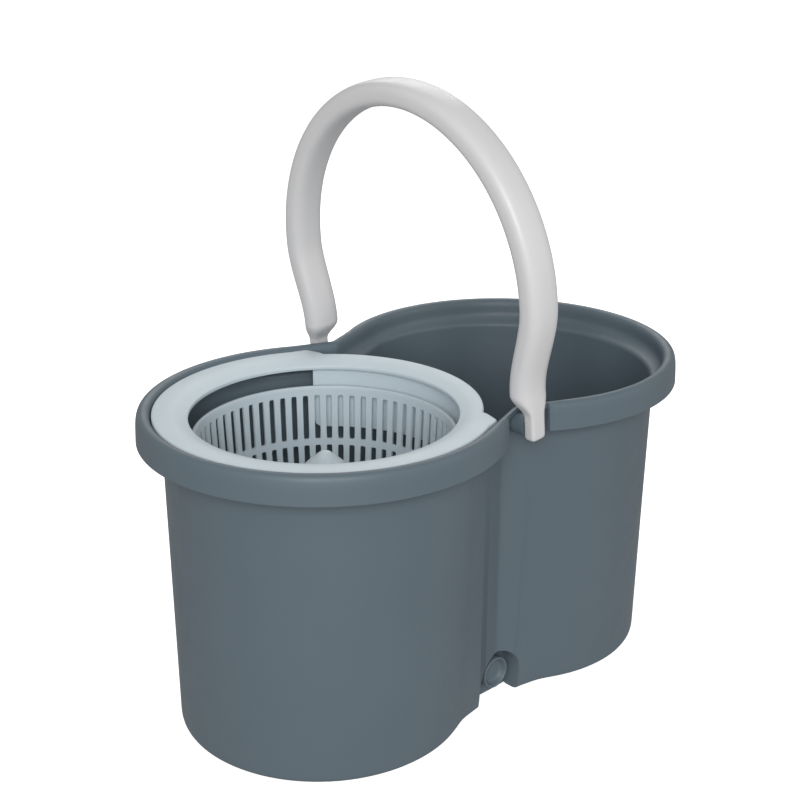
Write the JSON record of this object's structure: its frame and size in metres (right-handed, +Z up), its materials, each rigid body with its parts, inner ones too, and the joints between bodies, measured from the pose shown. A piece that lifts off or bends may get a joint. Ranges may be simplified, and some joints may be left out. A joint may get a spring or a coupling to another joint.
{
  "type": "spin mop bucket",
  "caption": "Two-lobe plastic spin mop bucket with a spinning wringer basket, a splash collar, a swinging bail handle and a push-in drain plug.",
  "frame": {"origin": "middle of the bucket's underside, on the surface that it stands on", "axes": "+Z up, +X along the bucket from the basket lobe to the open lobe, +Y from the drain plug side to the far side"},
  "size_m": [0.4716, 0.277, 0.48],
  "materials": {
    "bucket_plastic": "fine satin moulding",
    "white_plastic": "satin moulding",
    "handle_plastic": "satin moulding",
    "column_plastic": "fine satin moulding",
    "bush_plastic": "smooth natural nylon",
    "screw_steel": "zinc plated",
    "spindle_steel": "ground stainless",
    "seal_rubber": "soft matte"
  },
  "bodies": {
    "bucket": {"bucket_shell": "bucket_plastic", "splash_collar": "white_plastic", "spindle_column": "column_plastic", "column_screw_1": "screw_steel", "column_screw_2": "screw_steel", "column_screw_3": "screw_steel", "column_screw_4": "screw_steel", "spindle_pin": "spindle_steel", "thrust_washer": "spindle_steel", "pin_clip": "spindle_steel"},
    "basket": {"spin_basket": "white_plastic", "hub_cone": "white_plastic", "lower_bush": "bush_plastic", "upper_bush": "bush_plastic"},
    "handle": {"handle_bow": "handle_plastic"},
    "plug": {"drain_plug": "bucket_plastic", "drain_seal": "seal_rubber"}
  },
  "joints": [
    {"name": "basket_spin", "type": "hinge", "parent": "bucket", "child": "basket", "pos_m": [-0.0973, 0, 0.16], "axis": [0, 0, 1], "continuous": true},
    {"name": "handle_swing", "type": "hinge", "parent": "bucket", "child": "handle", "pos_m": [0, 0, 0.2405], "axis": [0, 1, 0], "range_deg": [-23, 33]},
    {"name": "plug_pull", "type": "slide", "parent": "bucket", "child": "plug", "axis": [0, -1, 0], "range_m": [0, 0.022]}
  ]
}
